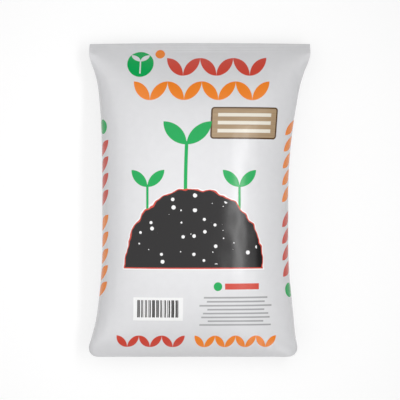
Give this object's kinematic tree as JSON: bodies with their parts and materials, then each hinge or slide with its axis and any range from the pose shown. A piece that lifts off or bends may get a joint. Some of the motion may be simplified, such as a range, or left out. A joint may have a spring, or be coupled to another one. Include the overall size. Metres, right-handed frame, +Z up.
{
  "type": "compost bag",
  "caption": "Filled pillow bag of white film for compost or topsoil, heat-sealed flat across its wide top, with a rounded tucked-under bottom end, lying on its back.",
  "frame": {"origin": "on the ground, under the middle of the bag's box", "axes": "+Z up, out of the printed front; +Y along the bag to its top seal; +X to the right of the printed front"},
  "size_m": [0.3202, 0.453, 0.1072],
  "materials": {
    "white_film": "white printed polyethylene film, satin, with fields of green, red, orange, tan and charcoal ink on the front"
  },
  "bodies": {
    "root": {"filled_bag": "white_film"}
  },
  "joints": []
}
